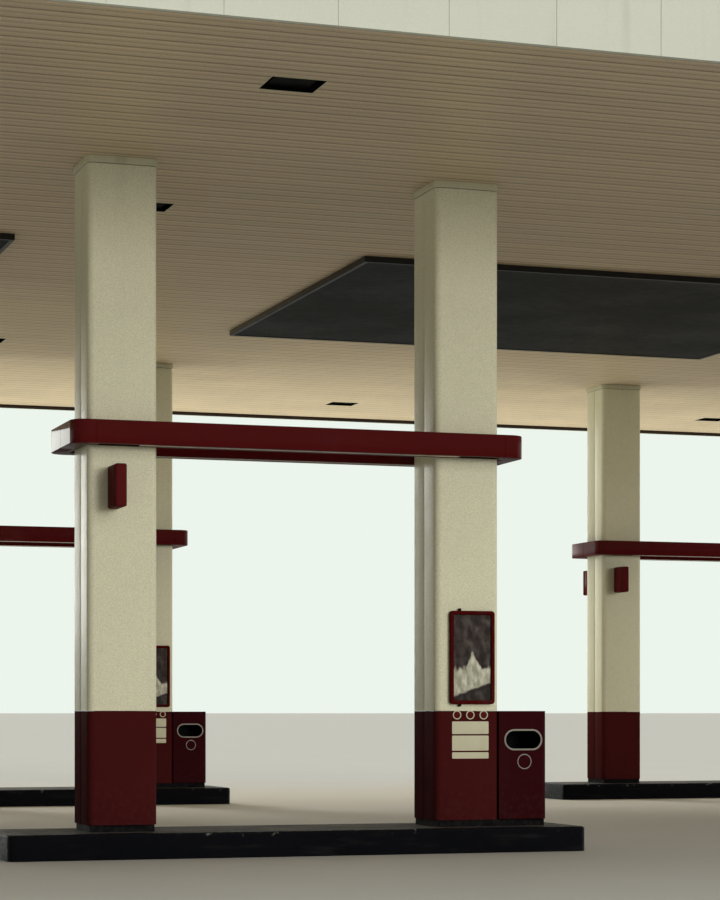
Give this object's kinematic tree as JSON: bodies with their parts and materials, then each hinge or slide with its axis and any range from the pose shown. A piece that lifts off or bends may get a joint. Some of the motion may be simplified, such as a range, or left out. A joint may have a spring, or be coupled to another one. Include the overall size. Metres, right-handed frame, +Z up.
{
  "type": "filling station canopy",
  "caption": "Flat rectangular canopy on paired clad columns, with kerbed islands, red bands round the column pairs, a planked soffit and a deep fascia.",
  "frame": {"origin": "on the ground under the middle of the roof", "axes": "+X along the islands, +Y from the near row of columns to the far row, +Z up"},
  "size_m": [32.01, 21.35, 7.003],
  "materials": {
    "kerb_paint": "satin dark paint on cast kerb",
    "paving": "dark worn screed",
    "post_steel": "grey primer",
    "cladding_cream": "cream powder coat, satin",
    "cladding_red": "dark red powder coat, satin",
    "plinth_black": "matt black",
    "collar_cream": "cream powder coat",
    "band_red": "dark red powder coat, gloss",
    "bracket_steel": "dark grey paint",
    "diffuser_white": "opal",
    "sign_red": "gloss red",
    "frame_red": "dark red powder coat",
    "poster_print": "printed sheet with a plain pattern",
    "poster_glazing": "clear",
    "bin_red": "dark red powder coat",
    "rim_pale": "satin",
    "soffit_cream": "cream coil coat, satin",
    "light_black": "matt black",
    "light_lens": "dark unlit lens",
    "panel_frame": "satin black",
    "panel_dark": "gloss dark grey",
    "roof_steel": "grey primer",
    "deck_grey": "light grey coil coat",
    "fascia_white": "off-white composite panel",
    "trim_brown": "dark brown",
    "coping_white": "off-white, folded"
  },
  "bodies": {
    "root": {"kerbs_near": "kerb_paint", "kerbs_far": "kerb_paint", "island_slabs": "paving", "posts_near": "post_steel", "posts_far": "post_steel", "dado_front_halves": "cladding_red", "dado_back_halves": "cladding_red", "cladding_front_near": "cladding_cream", "cladding_back_near": "cladding_cream", "cladding_front_far": "cladding_cream", "cladding_back_far": "cladding_cream", "column_plinths": "plinth_black", "collars": "collar_cream", "band_front_lengths": "band_red", "band_back_lengths": "band_red", "band_left_ends": "band_red", "band_right_ends": "band_red", "band_brackets": "bracket_steel", "band_diffusers": "diffuser_white", "flag_signs": "sign_red", "poster_frames": "frame_red", "poster_boards": "poster_print", "poster_panes": "poster_glazing", "bin_housings": "bin_red", "bin_plinths": "plinth_black", "bin_rims": "rim_pale", "soffit_front": "soffit_cream", "soffit_middle": "soffit_cream", "soffit_back": "soffit_cream", "soffit_hangers": "roof_steel", "light_housings": "light_black", "light_lenses": "light_lens", "dropped_frames": "panel_frame", "dropped_boards": "panel_dark", "primary_beams": "roof_steel", "secondary_beams": "roof_steel", "roof_deck": "deck_grey", "fascia_front": "fascia_white", "fascia_back": "fascia_white", "fascia_left": "fascia_white", "fascia_right": "fascia_white", "perimeter_trim": "trim_brown", "coping": "coping_white"}
  },
  "joints": []
}
